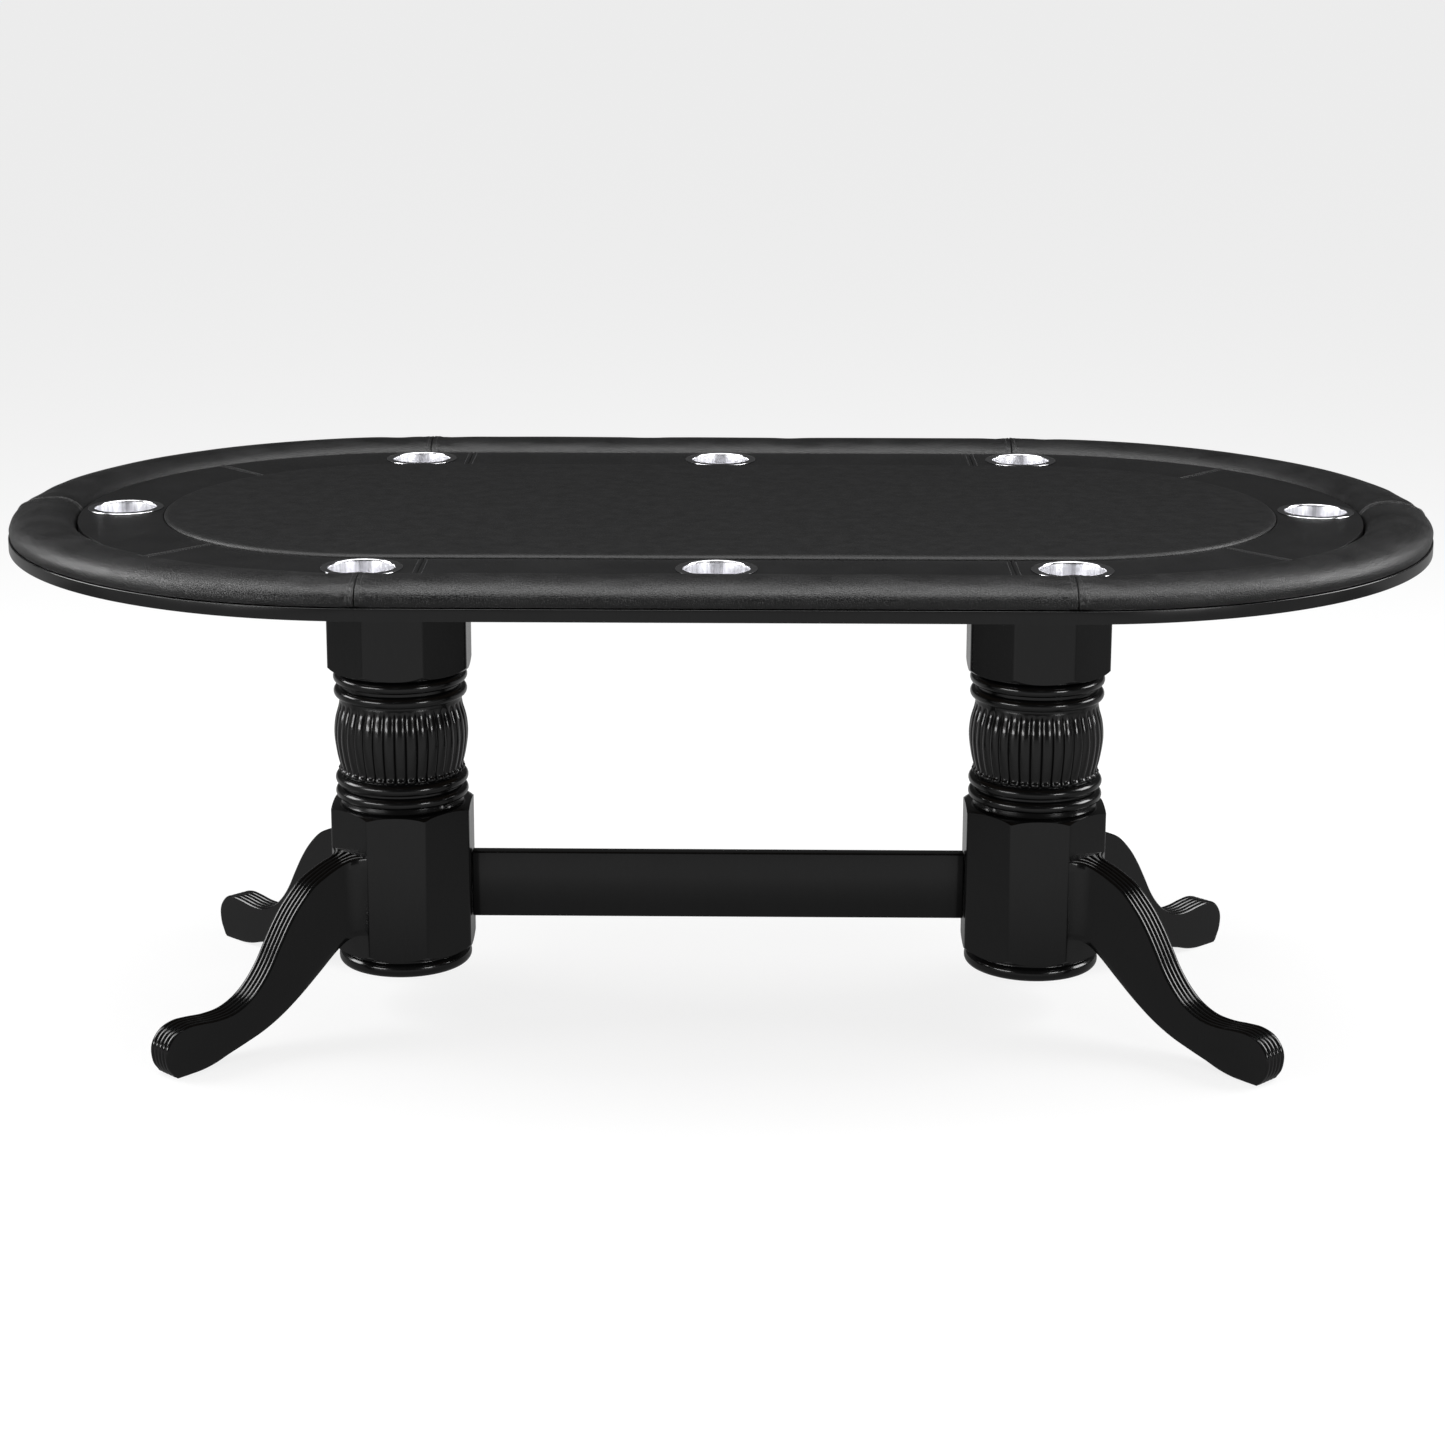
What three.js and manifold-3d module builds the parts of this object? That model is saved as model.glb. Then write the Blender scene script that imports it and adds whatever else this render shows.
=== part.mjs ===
// Poker table: padded oval rail, racetrack with eight drop-in cup holders, raised play surface,
// two turned pedestals with S-shaped legs, and a stretcher. Millimetres, +Z up, floor at z = 0.

import * as THREE from 'three';
import { mergeVertices } from 'three/addons/utils/BufferGeometryUtils.js';
import Module from 'manifold-3d';

const wasm = await Module();
wasm.setup();

// ---- driving dimensions ----

const LENGTH = 2032;
const WIDTH = 1110;
const HEIGHT = 768;
const GAP = 0.3;                       // clearance between touching pieces
const SEAM = 0.6;                      // clearance at a seam between covered sections

const END_RADIUS = WIDTH / 2;
const STRAIGHT = LENGTH / 2 - END_RADIUS;   // half the length of the straight sides

const BAND_BOTTOM = 717;
const BAND_TOP = 734;
const BAND_WIDTH = 108;
const RAIL_WIDTH = 97;
const RACE_TOP = 753;
const RACE_INSET = RAIL_WIDTH + GAP;
const PLAY_INSET = 218;
const RACE_SEAM_X = 393;
const RACE_SEAM_ANGLE = 47;
const BOARD_INSET = 208;
const PLAY_TOP = 758.5;
const PLAY_EDGE = 3;                   // rounding of the play pad's edge

const CUP_INSET = (RAIL_WIDTH + PLAY_INSET) / 2;
const CUP_X = 469;
const CUP_RADIUS = 44;
const CUP_HOLE_RADIUS = 46;
const CUP_FLANGE_RADIUS = 54.5;
const CUP_DEPTH = 62;
const CUP_WALL = 1;
const CUP_SIDES = 20;

const UNDER_THICK = 18;                // cross rails and mounting plates
const UNDER_TOP = BAND_BOTTOM - GAP;
const UNDER_BOTTOM = UNDER_TOP - UNDER_THICK;
const CROSS_RAIL_WIDTH = 60;
const CROSS_RAILS = [
  { name: 'cross_rail_left_outer', x: -680, halfLength: 420 },
  { name: 'cross_rail_left_inner', x: -250, halfLength: 475 },
  { name: 'cross_rail_right_inner', x: 250, halfLength: 475 },
  { name: 'cross_rail_right_outer', x: 680, halfLength: 420 },
];

const PEDESTAL_X = 465.5;
const OCTAGON = 203;                   // across the flats
const HOLLOW = 124;                    // across the flats of the pedestal blocks' bore
const RING_BOTTOM = 70;
const RING_TOP = 94;
const LOWER_BLOCK_TOP = 317.5;
const UPPER_BLOCK_BOTTOM = 516.5;
const COLUMN_SIDES = 24;
const BLOCK_SIDES = 32;                // of the turned surface that cuts the blocks' corners
const PLATE_SIZE = [260, 400];
const ROD_RADIUS = 6;
const ROD_BORE = 7;
const NUT_RADIUS = 15;
const NUT_HEIGHT = 8;
const NUT_POCKET_RADIUS = 17;
const NUT_POCKET_DEPTH = 10.3;

const LEG_THICK = 41;
const LEG_ROOT = OCTAGON / 2 + GAP;
const LEG_ROOT_WIDTH = 82;
const LEG_COVE = 27;                   // length over which the root flare fades out
const LEG_BOLT_HEIGHTS = [170, 222];

const STRETCHER_BOTTOM = 138.5;
const STRETCHER_TOP = 238;
const STRETCHER_THICK = 21;

const BOLT_RADIUS = 4;
const BOLT_HOLE_RADIUS = 4.5;
const BOLT_HEAD_RADIUS = 8;
const BOLT_HEAD_HEIGHT = 6;
const BOLT_REACH = 48;                 // how far a bolt goes past the block's face
const BOLT_SIDES = 8;

// ---- finishes ----

const finish = (color, roughness, metalness = 0) =>
  new THREE.MeshStandardMaterial({ color, roughness, metalness });
const vinyl = finish(0x1b1b1c, 0.45);
const smoothVinyl = finish(0x17181a, 0.4);
const playVinyl = finish(0x1e1f20, 0.55);
const blackWood = finish(0x0d0d0e, 0.3);
const rawWood = finish(0x8a6c4a, 0.75);
const stainless = finish(0xc8cacc, 0.25, 1);
const zincSteel = finish(0x9a9da0, 0.4, 1);

const table = new THREE.Group();

function add(name, geometry, material, place = [0, 0, 0], turn = 0) {
  const mesh = new THREE.Mesh(geometry, material);
  mesh.name = name;
  mesh.position.set(...place);
  mesh.rotation.z = turn;
  table.add(mesh);
  return mesh;
}

// ---- solids and booleans ----

function toSolid(geometry) {
  const bare = geometry.clone();
  bare.deleteAttribute('normal');
  bare.deleteAttribute('uv');
  const merged = mergeVertices(bare, 1e-3);
  return new wasm.Manifold(new wasm.Mesh({
    numProp: 3,
    vertProperties: new Float32Array(merged.attributes.position.array),
    triVerts: new Uint32Array(merged.index.array),
  }));
}

function toGeometry(solid) {
  const mesh = solid.getMesh();
  const geometry = new THREE.BufferGeometry();
  geometry.setAttribute('position', new THREE.BufferAttribute(mesh.vertProperties, 3));
  geometry.setIndex(new THREE.BufferAttribute(mesh.triVerts, 1));
  return geometry;
}

function cut(geometry, ...tools) {
  return toGeometry(tools.reduce((solid, tool) => solid.subtract(toSolid(tool)), toSolid(geometry)));
}

function common(a, b) {
  return toGeometry(toSolid(a).intersect(toSolid(b)));
}

function upright(radius, bottom, top, sides) {
  const cylinder = new THREE.CylinderGeometry(radius, radius, top - bottom, sides);
  return cylinder.rotateX(Math.PI / 2).translate(0, 0, (bottom + top) / 2);
}

// A cylinder from one distance to another along the horizontal direction `angle`.
function rodAlong(angle, height, radius, from, to, sides) {
  const cylinder = new THREE.CylinderGeometry(radius, radius, to - from, sides);
  cylinder.rotateZ(-Math.PI / 2).translate((from + to) / 2, 0, 0);
  return cylinder.rotateZ(angle).translate(0, 0, height);
}

function turned(profile, sides) {
  const points = profile.map(([r, z]) => new THREE.Vector2(r, z));
  return new THREE.LatheGeometry(points, sides).rotateX(Math.PI / 2);
}

// ---- the oval: stations along its edge, and sections swept past them ----

const rad = THREE.MathUtils.degToRad;

function onStraight(x) {
  return { at: [x, END_RADIUS], out: [0, 1] };
}

function onEnd(degrees) {
  const out = [Math.cos(rad(degrees)), Math.sin(rad(degrees))];
  return { at: [STRAIGHT + END_RADIUS * out[0], END_RADIUS * out[1]], out };
}

// Every piece round an end turns at the same angles, so that neighbours meet along the same chords.
const END_ANGLES = [RACE_SEAM_ANGLE, -RACE_SEAM_ANGLE];
for (let angle = -90; angle <= 90; angle += 7.5) {
  END_ANGLES.push(angle);
}
END_ANGLES.sort((a, b) => b - a);

function endArc(from, to) {
  const between = END_ANGLES.filter((angle) => angle < from - 0.2 && angle > to + 0.2);
  return [from, ...between, to].map(onEnd);
}

function mirrored(stations, sx, sy) {
  return stations.map(({ at, out }) => ({ at: [at[0] * sx, at[1] * sy], out: [out[0] * sx, out[1] * sy] }));
}

// Sweeps a closed section, given as [inset from the oval's edge, height], past the stations.
function swept(section, stations) {
  const n = section.length;
  const positions = [];
  for (const { at, out } of stations) {
    for (const [inset, z] of section) {
      positions.push(at[0] - out[0] * inset, at[1] - out[1] * inset, z);
    }
  }
  const faces = [];
  for (let s = 0; s + 1 < stations.length; s++) {
    for (let i = 0; i < n; i++) {
      const a = s * n + i;
      const b = s * n + (i + 1) % n;
      faces.push([a, b, b + n], [a, b + n, a + n]);
    }
  }
  const last = (stations.length - 1) * n;
  const outline = section.map(([inset, z]) => new THREE.Vector2(inset, z));
  const wasReversed = THREE.ShapeUtils.isClockWise(outline);
  for (const [a, b, c] of THREE.ShapeUtils.triangulateShape(outline, [])) {
    const cap = wasReversed ? [c, b, a] : [a, b, c];
    const start = wasReversed ? cap : [cap[2], cap[1], cap[0]];
    faces.push(start, [start[2] + last, start[1] + last, start[0] + last]);
  }
  const geometry = new THREE.BufferGeometry();
  geometry.setAttribute('position', new THREE.Float32BufferAttribute(positions, 3));
  geometry.setIndex(faces.flat());
  return volume(geometry) < 0 ? reversed(geometry) : geometry;
}

function volume(geometry) {
  const p = geometry.attributes.position;
  const corner = (i) => new THREE.Vector3().fromBufferAttribute(p, geometry.index.getX(i));
  let sum = 0;
  for (let i = 0; i < geometry.index.count; i += 3) {
    sum += corner(i).dot(corner(i + 1).cross(corner(i + 2)));
  }
  return sum / 6;
}

function reversed(geometry) {
  geometry.setIndex(Array.from(geometry.index.array).reverse());
  return geometry;
}

const slab = (outer, inner, bottom, top) => [[outer, bottom], [inner, bottom], [inner, top], [outer, top]];

function ovalShape(inset) {
  const r = END_RADIUS - inset;
  const shape = new THREE.Shape();
  shape.moveTo(-STRAIGHT, -r);
  shape.lineTo(STRAIGHT, -r);
  shape.absarc(STRAIGHT, 0, r, -Math.PI / 2, Math.PI / 2);
  shape.lineTo(-STRAIGHT, r);
  shape.absarc(-STRAIGHT, 0, r, Math.PI / 2, 3 * Math.PI / 2);
  return shape;
}

function ovalBoard(inset, bottom, top, curveSegments) {
  const settings = { depth: top - bottom, bevelEnabled: false, curveSegments };
  return new THREE.ExtrudeGeometry(ovalShape(inset), settings).translate(0, 0, bottom);
}

// ---- rail band and padded rail ----

const QUADRANTS = [
  { name: 'front_left', sx: -1, sy: -1 },
  { name: 'front_right', sx: 1, sy: -1 },
  { name: 'rear_left', sx: -1, sy: 1 },
  { name: 'rear_right', sx: 1, sy: 1 },
];

function seamAngle(radius, gap = SEAM) {
  return THREE.MathUtils.radToDeg(gap / 2 / radius);
}

function makeBand() {
  const section = slab(0, BAND_WIDTH, BAND_BOTTOM, BAND_TOP);
  const straight = [onStraight(-STRAIGHT + GAP), onStraight(STRAIGHT - GAP)];
  add('rail_band_front', swept(section, mirrored(straight, 1, -1)), blackWood);
  add('rail_band_rear', swept(section, straight), blackWood);
  const end = endArc(90, -90);
  add('rail_band_left_end', swept(section, mirrored(end, -1, 1)), blackWood);
  add('rail_band_right_end', swept(section, end), blackWood);
}

// Height of the pad's top over its width: a broad crown, tight at the outer edge.
const PAD_BOTTOM = BAND_TOP + GAP;
const PAD_SECTION = [
  [2, PAD_BOTTOM], [RAIL_WIDTH - 1, PAD_BOTTOM], [RAIL_WIDTH, PAD_BOTTOM + 12], [92, 759],
  [80, 765], [62, HEIGHT], [40, HEIGHT], [20, 765.5], [6, 758], [0, 746],
];

function makePads() {
  const straight = [onStraight(-STRAIGHT + SEAM / 2), onStraight(STRAIGHT - SEAM / 2)];
  add('rail_pad_front', swept(PAD_SECTION, mirrored(straight, 1, -1)), vinyl);
  add('rail_pad_rear', swept(PAD_SECTION, straight), vinyl);
  const atSide = seamAngle(END_RADIUS - RAIL_WIDTH);
  const corner = endArc(90 - atSide, atSide);
  for (const { name, sx, sy } of QUADRANTS) {
    add(`rail_pad_${name}`, swept(PAD_SECTION, mirrored(corner, sx, sy)), vinyl);
  }
}

// ---- racetrack, play surface and what carries them ----

const cupCentres = {
  front_left: [-CUP_X, CUP_INSET - END_RADIUS],
  front_middle: [0, CUP_INSET - END_RADIUS],
  front_right: [CUP_X, CUP_INSET - END_RADIUS],
  rear_left: [-CUP_X, END_RADIUS - CUP_INSET],
  rear_middle: [0, END_RADIUS - CUP_INSET],
  rear_right: [CUP_X, END_RADIUS - CUP_INSET],
  left_end: [CUP_INSET - LENGTH / 2, 0],
  right_end: [LENGTH / 2 - CUP_INSET, 0],
};

function racePanel(place, stations) {
  const section = slab(RACE_INSET, PLAY_INSET, BAND_TOP + GAP, RACE_TOP);
  const hole = upright(CUP_HOLE_RADIUS, BAND_TOP - 10, RACE_TOP + 10, CUP_SIDES);
  hole.translate(...cupCentres[place], 0);
  add(`racetrack_${place}`, cut(swept(section, stations), hole), smoothVinyl);
}

function makeRacetrack() {
  const middle = [onStraight(-RACE_SEAM_X + SEAM / 2), onStraight(RACE_SEAM_X - SEAM / 2)];
  racePanel('front_middle', mirrored(middle, 1, -1));
  racePanel('rear_middle', middle);
  const atSeam = seamAngle(END_RADIUS - PLAY_INSET);
  const corner = [onStraight(RACE_SEAM_X + SEAM / 2), ...endArc(90, RACE_SEAM_ANGLE + atSeam)];
  for (const { name, sx, sy } of QUADRANTS) {
    racePanel(name, mirrored(corner, sx, sy));
  }
  const reach = RACE_SEAM_ANGLE - atSeam;
  racePanel('right_end', endArc(reach, -reach));
  racePanel('left_end', mirrored(endArc(reach, -reach), -1, 1));
}

function makePlaySurface() {
  add('under_board', ovalBoard(BOARD_INSET, BAND_BOTTOM, BAND_TOP, 18), rawWood);
  add('play_board', ovalBoard(PLAY_INSET + 1, BAND_TOP + GAP, RACE_TOP - GAP, 18), rawWood);
  const pad = new THREE.ExtrudeGeometry(ovalShape(PLAY_INSET + 1 + PLAY_EDGE), {
    depth: PLAY_TOP - RACE_TOP - PLAY_EDGE,
    bevelThickness: PLAY_EDGE,
    bevelSize: PLAY_EDGE,
    bevelSegments: 2,
    curveSegments: 18,
  });
  const whole = pad.translate(0, 0, RACE_TOP);
  const below = new THREE.BoxGeometry(LENGTH, WIDTH, 20).translate(0, 0, RACE_TOP - 10);
  add('play_pad', cut(whole, below), playVinyl);
}

function makeUnderframe() {
  for (const { name, x, halfLength } of CROSS_RAILS) {
    const rail = new THREE.BoxGeometry(CROSS_RAIL_WIDTH, 2 * halfLength, UNDER_THICK);
    add(name, rail, rawWood, [x, 0, UNDER_TOP - UNDER_THICK / 2]);
  }
}

// ---- cup holders ----

// Profile about the cup's axis, with z = 0 on the racetrack's top.
const CUP_FOOT = CUP_RADIUS - 5;       // inner radius at the foot
const CUP_PROFILE = [
  [0, -CUP_DEPTH], [CUP_FOOT - 2, -CUP_DEPTH], [CUP_FOOT + CUP_WALL, 3 - CUP_DEPTH],
  [CUP_RADIUS + CUP_WALL, GAP], [CUP_FLANGE_RADIUS, GAP], [CUP_FLANGE_RADIUS - 1.5, 2.2],
  [CUP_RADIUS + 1, 2.4], [CUP_RADIUS, 1.2], [CUP_FOOT, 3.5 - CUP_DEPTH], [0, CUP_WALL - CUP_DEPTH],
];

function makeCups() {
  for (const [place, [x, y]] of Object.entries(cupCentres)) {
    add(`cup_${place}`, turned(CUP_PROFILE, CUP_SIDES), stainless, [x, y, RACE_TOP]);
  }
}

// ---- pedestals ----

function octagonPrism(flats, bottom, top) {
  const corner = flats / 2 / Math.cos(Math.PI / 8);
  return upright(corner, bottom, top, 8).rotateZ(Math.PI / 8);
}

const BLOCK_CORNER = OCTAGON / 2 / Math.cos(Math.PI / 8);
const LOWER_TURNING = [
  [0, RING_TOP], [BLOCK_CORNER - 5, RING_TOP], [BLOCK_CORNER + 2, RING_TOP + 10],
  [BLOCK_CORNER + 2, 306], [BLOCK_CORNER, 309], [OCTAGON / 2, 315.5],
  [93, LOWER_BLOCK_TOP], [0, LOWER_BLOCK_TOP],
];
const UPPER_TURNING = [
  [0, UPPER_BLOCK_BOTTOM], [92, UPPER_BLOCK_BOTTOM], [OCTAGON / 2, 519.5], [106, 522.5],
  [BLOCK_CORNER, 526.5], [BLOCK_CORNER + 2, 529], [BLOCK_CORNER + 2, 720], [0, 720],
];
const COLUMN_BORE = 20;
const COLUMN_PROFILE = [
  [COLUMN_BORE, LOWER_BLOCK_TOP + GAP], [90, LOWER_BLOCK_TOP + GAP], [88.6, 324], [95.5, 327],
  [97.5, 333], [95.5, 339], [88.6, 342], [88.6, 344.5], [95.5, 347.5], [97.5, 353.5], [95.5, 359.5],
  [88.5, 362.5], [89.5, 369], [95, 392], [98, 418], [96, 441], [90, 463], [88.8, 475.8],
  [95.5, 478.8], [97.5, 484.8], [95.5, 490.8], [88.8, 494], [88.8, 497.5], [95.5, 500.5],
  [98, 506.5], [95.5, 512.5], [89, UPPER_BLOCK_BOTTOM - GAP], [COLUMN_BORE, UPPER_BLOCK_BOTTOM - GAP],
];
const RING_PROFILE = [
  [ROD_BORE, RING_BOTTOM + NUT_POCKET_DEPTH], [NUT_POCKET_RADIUS, RING_BOTTOM + NUT_POCKET_DEPTH],
  [NUT_POCKET_RADIUS, RING_BOTTOM], [91, RING_BOTTOM], [96.5, 73], [98.5, 80], [97.5, 87],
  [94, 91.5], [94, RING_TOP], [ROD_BORE, RING_TOP],
];

const LEG_ANGLES = { front: -Math.PI / 4, rear: Math.PI / 4 };

function makeLowerBlock(name, x, side) {
  const hollow = octagonPrism(HOLLOW, 0, HEIGHT);
  const body = common(octagonPrism(OCTAGON, RING_TOP + GAP, LOWER_BLOCK_TOP), turned(LOWER_TURNING, BLOCK_SIDES));
  const holes = [];
  for (const angle of Object.values(LEG_ANGLES)) {
    for (const height of LEG_BOLT_HEIGHTS) {
      holes.push(rodAlong(angle, height, BOLT_HOLE_RADIUS, 40, 120, BOLT_SIDES));
    }
  }
  const height = (STRETCHER_BOTTOM + STRETCHER_TOP) / 2;
  holes.push(rodAlong(Math.PI, height, BOLT_HOLE_RADIUS, 40, 120, BOLT_SIDES));
  const turn = side > 0 ? 0 : Math.PI;
  add(name, cut(body, hollow, ...holes), blackWood, [x, 0, 0], turn);
}

function makePedestal(side) {
  const label = side < 0 ? 'left' : 'right';
  const x = side * PEDESTAL_X;
  const at = [x, 0, 0];
  add(`${label}_base_ring`, turned([...RING_PROFILE, RING_PROFILE[0]], COLUMN_SIDES), blackWood, at);
  makeLowerBlock(`${label}_lower_block`, x, side);
  add(`${label}_turned_column`, turned([...COLUMN_PROFILE, COLUMN_PROFILE[0]], COLUMN_SIDES), blackWood, at);

  const blockTop = UNDER_BOTTOM - GAP;
  const upper = common(octagonPrism(OCTAGON, UPPER_BLOCK_BOTTOM, blockTop), turned(UPPER_TURNING, BLOCK_SIDES));
  add(`${label}_upper_block`, cut(upper, octagonPrism(HOLLOW, 0, HEIGHT)), blackWood, at);

  const plate = new THREE.BoxGeometry(...PLATE_SIZE, UNDER_THICK).translate(0, 0, UNDER_TOP - UNDER_THICK / 2);
  const bore = upright(ROD_BORE, UNDER_BOTTOM - 5, HEIGHT, 12);
  const pocket = upright(NUT_POCKET_RADIUS, UNDER_TOP - NUT_POCKET_DEPTH, HEIGHT, 12);
  add(`${label}_mounting_plate`, cut(plate, bore, pocket), rawWood, at);

  const low = RING_BOTTOM + NUT_POCKET_DEPTH - GAP;
  const high = UNDER_TOP - NUT_POCKET_DEPTH + GAP;
  const rod = [
    [0, low - NUT_HEIGHT], [NUT_RADIUS, low - NUT_HEIGHT], [NUT_RADIUS, low], [ROD_RADIUS, low],
    [ROD_RADIUS, high], [NUT_RADIUS, high], [NUT_RADIUS, high + NUT_HEIGHT], [0, high + NUT_HEIGHT],
  ];
  add(`${label}_tie_rod`, turned(rod, 8), zincSteel, at);
}

// ---- legs ----

// The leg's outline as [distance from the pedestal's axis, height]: along the back from the root
// to the toe, then along the foot and back up the underside.
const LEG_BACK = [
  [LEG_ROOT, 255], [134, 247], [160, 237.5], [184, 225], [209, 202], [228, 178], [246, 150],
  [263, 122], [282, 99], [304, 81.5], [330, 71], [358, 69], [386, 71.5], [408, 72], [428, 66],
  [441, 53], [446.5, 38], [443, 20],
];
const LEG_FOOT = [[432, 3], [427, 0], [386, 0]];
const LEG_UNDERSIDE = [
  [361, 8], [338, 15.5], [310, 21], [276, 31.5], [243, 47], [209, 68.5], [176, 93], [144, 117.5],
  [122, 130], [LEG_ROOT, 136],
];

function smooth(points, divisions) {
  const curve = new THREE.SplineCurve(points.map(([x, y]) => new THREE.Vector2(x, y)));
  return curve.getPoints(divisions);
}

function legSide() {
  const foot = LEG_FOOT.map(([x, y]) => new THREE.Vector2(x, y));
  const outline = [...smooth(LEG_BACK, 26), ...foot, ...smooth(LEG_UNDERSIDE, 12)];
  const settings = { depth: 2 * LEG_ROOT_WIDTH, bevelEnabled: false };
  const plank = new THREE.ExtrudeGeometry(new THREE.Shape(outline), settings);
  return plank.translate(0, 0, -LEG_ROOT_WIDTH).rotateX(Math.PI / 2);
}

function legPlan() {
  const shape = new THREE.Shape();
  shape.moveTo(LEG_ROOT, -LEG_ROOT_WIDTH / 2);
  shape.quadraticCurveTo(LEG_ROOT + 6, -LEG_THICK / 2, LEG_ROOT + LEG_COVE, -LEG_THICK / 2);
  shape.lineTo(500, -LEG_THICK / 2);
  shape.lineTo(500, LEG_THICK / 2);
  shape.lineTo(LEG_ROOT + LEG_COVE, LEG_THICK / 2);
  shape.quadraticCurveTo(LEG_ROOT + 6, LEG_THICK / 2, LEG_ROOT, LEG_ROOT_WIDTH / 2);
  return new THREE.ExtrudeGeometry(shape, { depth: 300, bevelEnabled: false, curveSegments: 5 })
    .translate(0, 0, -10);
}

function makeLegs(side) {
  const label = side < 0 ? 'left' : 'right';
  const at = [side * PEDESTAL_X, 0, 0];
  const blank = common(legSide(), legPlan());
  const boltHoles = LEG_BOLT_HEIGHTS.map((height) =>
    rodAlong(0, height, BOLT_HOLE_RADIUS, 80, LEG_ROOT + BOLT_REACH + 2, BOLT_SIDES));
  const leg = cut(blank, ...boltHoles);
  for (const [row, angle] of Object.entries(LEG_ANGLES)) {
    const turn = side > 0 ? angle : Math.PI - angle;
    add(`leg_${row}_${label}`, leg.clone(), blackWood, at, turn);
    LEG_BOLT_HEIGHTS.forEach((height, i) => {
      const which = i === 0 ? 'low' : 'high';
      add(`leg_bolt_${row}_${label}_${which}`, bolt(), zincSteel, [at[0], 0, height], turn);
    });
  }
}

// A bolt pointing along +X from the pedestal's axis, its head inside the block's hollow.
function bolt() {
  const seat = HOLLOW / 2 - GAP;
  const profile = [
    [0, seat - BOLT_HEAD_HEIGHT], [BOLT_HEAD_RADIUS, seat - BOLT_HEAD_HEIGHT], [BOLT_HEAD_RADIUS, seat],
    [BOLT_RADIUS, seat], [BOLT_RADIUS, LEG_ROOT + BOLT_REACH], [0, LEG_ROOT + BOLT_REACH],
  ];
  return turned(profile, BOLT_SIDES).rotateY(Math.PI / 2);
}

// ---- stretcher ----

function makeStretcher() {
  const half = PEDESTAL_X - OCTAGON / 2 - GAP;
  const height = (STRETCHER_BOTTOM + STRETCHER_TOP) / 2;
  const board = new THREE.BoxGeometry(2 * half, STRETCHER_THICK, STRETCHER_TOP - STRETCHER_BOTTOM);
  board.translate(0, 0, height);
  const reach = LEG_ROOT + BOLT_REACH + 2;
  const holes = [
    rodAlong(Math.PI, height, BOLT_HOLE_RADIUS, 80, reach, BOLT_SIDES).translate(PEDESTAL_X, 0, 0),
    rodAlong(0, height, BOLT_HOLE_RADIUS, 80, reach, BOLT_SIDES).translate(-PEDESTAL_X, 0, 0),
  ];
  add('stretcher', cut(board, ...holes), blackWood);
  add('stretcher_bolt_right', bolt(), zincSteel, [PEDESTAL_X, 0, height], Math.PI);
  add('stretcher_bolt_left', bolt(), zincSteel, [-PEDESTAL_X, 0, height], 0);
}

makeBand();
makePads();
makeRacetrack();
makePlaySurface();
makeUnderframe();
makeCups();
for (const side of [-1, 1]) {
  makePedestal(side);
  makeLegs(side);
}
makeStretcher();

export default table;
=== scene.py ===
"""Poker table: upholstered rail, racetrack and play surface, drop-in cups, turned pedestals and reeded legs.

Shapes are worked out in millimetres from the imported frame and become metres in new_piece().
"""

import math

import bmesh
import bpy
import numpy as np
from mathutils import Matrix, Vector


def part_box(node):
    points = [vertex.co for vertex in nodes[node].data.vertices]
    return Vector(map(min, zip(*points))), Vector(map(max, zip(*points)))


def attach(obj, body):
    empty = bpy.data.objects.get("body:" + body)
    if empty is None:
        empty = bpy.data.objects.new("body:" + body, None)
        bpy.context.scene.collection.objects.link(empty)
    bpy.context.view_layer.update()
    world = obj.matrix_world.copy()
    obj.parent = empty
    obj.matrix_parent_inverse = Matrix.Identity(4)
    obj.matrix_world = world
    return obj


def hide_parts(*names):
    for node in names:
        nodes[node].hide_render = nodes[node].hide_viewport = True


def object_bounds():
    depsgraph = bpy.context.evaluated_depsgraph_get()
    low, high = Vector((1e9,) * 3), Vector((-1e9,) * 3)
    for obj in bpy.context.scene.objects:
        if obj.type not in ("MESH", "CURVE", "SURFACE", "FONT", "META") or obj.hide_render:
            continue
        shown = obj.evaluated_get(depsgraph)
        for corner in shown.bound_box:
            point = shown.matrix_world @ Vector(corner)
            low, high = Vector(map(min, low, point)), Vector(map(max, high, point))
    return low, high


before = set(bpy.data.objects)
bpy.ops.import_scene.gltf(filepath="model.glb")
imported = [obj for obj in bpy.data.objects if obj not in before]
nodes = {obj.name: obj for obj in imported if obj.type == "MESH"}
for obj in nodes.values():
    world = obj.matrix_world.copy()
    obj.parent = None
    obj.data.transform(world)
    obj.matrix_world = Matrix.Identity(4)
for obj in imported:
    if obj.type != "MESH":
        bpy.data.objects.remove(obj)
cad_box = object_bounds()

MM = 0.001
TABLE = "table"


def span(node):
    """Lowest and highest corner of a CAD node, in millimetres."""
    low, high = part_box(node)
    return np.array(low) / MM, np.array(high) / MM


# ---------------------------------------------------------------- places, all from the frame

table_high = np.array(cad_box[1]) / MM
END_RADIUS = table_high[1]
STRAIGHT = table_high[0] - END_RADIUS
SIDE_RUN = 2 * STRAIGHT
END_RUN = math.pi * END_RADIUS
PERIMETER = 2 * (SIDE_RUN + END_RUN)

pad_low, pad_high = span("rail_pad_rear")
PAD_BOTTOM, PAD_TOP = pad_low[2], pad_high[2]
band_low, band_high = span("rail_band_rear")
race_low, race_high = span("racetrack_rear_middle")
RACE_OUTER = END_RADIUS - race_high[1]
RACE_INNER = END_RADIUS - race_low[1]
RACE_SEAM_X = race_high[0]
RACE_SEAM_ANGLE = math.radians(47)
play_low, play_high = span("play_pad")
PLAY_RADIUS = play_high[1]
PEDESTAL_X = float(sum(span("right_turned_column")[i][0] for i in (0, 1)) / 2)

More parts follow.
